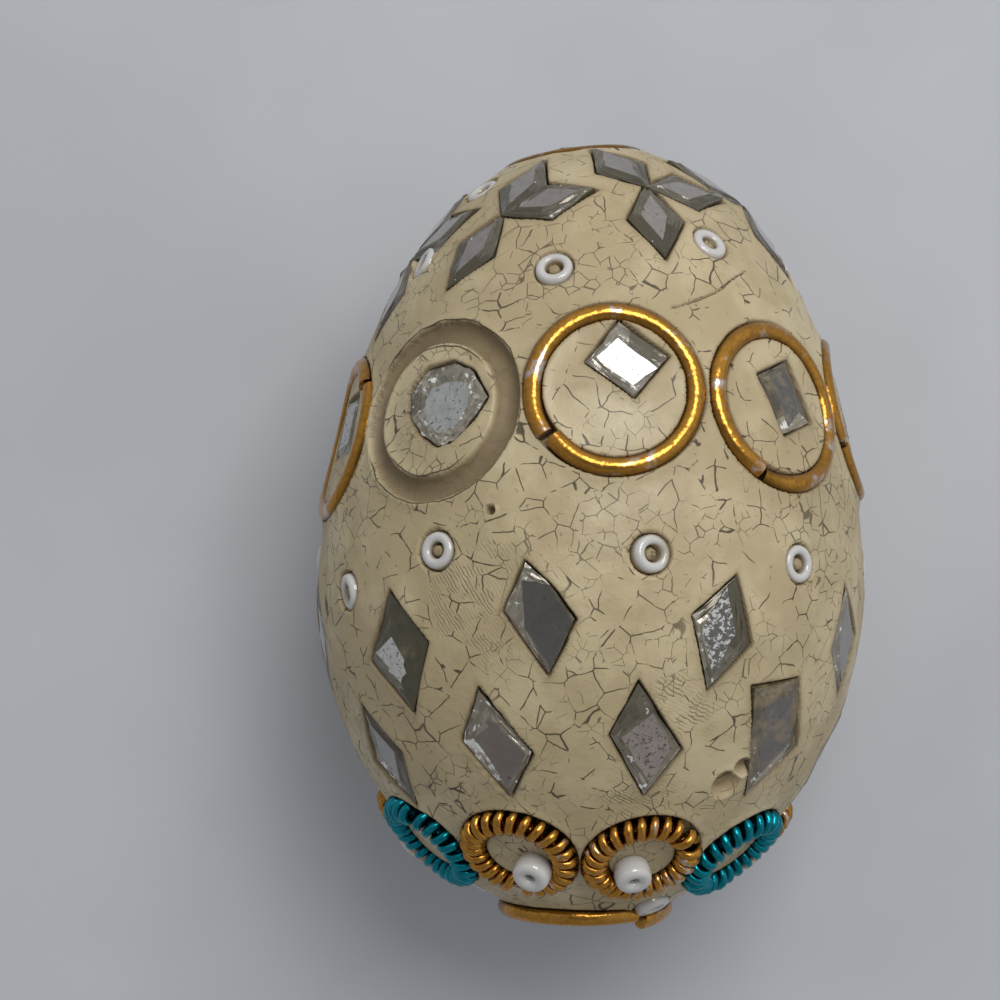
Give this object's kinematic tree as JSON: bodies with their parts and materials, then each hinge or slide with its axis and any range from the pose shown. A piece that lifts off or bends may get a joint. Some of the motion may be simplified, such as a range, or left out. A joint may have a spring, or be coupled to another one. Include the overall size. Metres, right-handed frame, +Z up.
{
  "type": "decorative egg",
  "caption": "Hand-made clay egg that lies on its side, set with mirror-glass diamonds, split gilt wire rings, spring-wire rings and white seed beads.",
  "frame": {"origin": "middle of the small flat resting spot under the egg, on the surface it lies on", "axes": "+Z up as the egg lies on its side, +Y along the egg towards its narrow end, +X to the right when seen from above with the narrow end ahead"},
  "size_m": [0.0465, 0.0662, 0.046],
  "materials": {
    "clay": "pale tan clay with a dull polish, finely crazed, browner round the set pieces",
    "gold_wire": "gilt wire, worn silvery in places",
    "turquoise_wire": "shiny turquoise lacquer on spring wire",
    "mirror_glass": "old silvered glass, dark and spotted, with chipped edges"
  },
  "bodies": {
    "root": {"egg_body": "clay", "gold_ring_01": "gold_wire", "gold_ring_02": "gold_wire", "gold_ring_03": "gold_wire", "gold_ring_04": "gold_wire", "gold_ring_05": "gold_wire", "gold_ring_06": "gold_wire", "gold_ring_07": "gold_wire", "gold_ring_08": "gold_wire", "ring_mirror_01": "mirror_glass", "ring_mirror_02": "mirror_glass", "ring_mirror_03": "mirror_glass", "ring_mirror_04": "mirror_glass", "ring_mirror_05": "mirror_glass", "ring_mirror_06": "mirror_glass", "ring_mirror_07": "mirror_glass", "ring_mirror_08": "mirror_glass", "ring_mirror_09": "mirror_glass", "upper_diamond_01": "mirror_glass", "upper_diamond_02": "mirror_glass", "upper_diamond_03": "mirror_glass", "upper_diamond_04": "mirror_glass", "upper_diamond_05": "mirror_glass", "upper_diamond_06": "mirror_glass", "upper_diamond_07": "mirror_glass", "upper_diamond_08": "mirror_glass", "upper_diamond_09": "mirror_glass", "upper_diamond_10": "mirror_glass", "lower_diamond_01": "mirror_glass", "lower_diamond_02": "mirror_glass", "lower_diamond_03": "mirror_glass", "lower_diamond_04": "mirror_glass", "lower_diamond_05": "mirror_glass", "lower_diamond_06": "mirror_glass", "lower_diamond_07": "mirror_glass", "lower_diamond_08": "mirror_glass", "lower_diamond_09": "mirror_glass", "lower_diamond_10": "mirror_glass", "lower_diamond_11": "mirror_glass", "diamond_cross_01": "mirror_glass", "diamond_cross_02": "mirror_glass", "diamond_cross_03": "mirror_glass", "diamond_cross_04": "mirror_glass", "diamond_cross_05": "mirror_glass", "diamond_cross_06": "mirror_glass", "diamond_cross_07": "mirror_glass", "diamond_cross_08": "mirror_glass", "turquoise_coil_01": "turquoise_wire", "gold_coil_02": "gold_wire", "gold_coil_03": "gold_wire", "turquoise_coil_04": "turquoise_wire", "gold_coil_05": "gold_wire", "gold_coil_06": "gold_wire", "turquoise_coil_07": "turquoise_wire", "gold_coil_08": "gold_wire", "gold_coil_09": "gold_wire", "narrow_end_ring": "gold_wire", "narrow_end_mirror": "mirror_glass", "blunt_end_ring": "gold_wire", "blunt_end_mirror": "mirror_glass"}
  },
  "joints": []
}
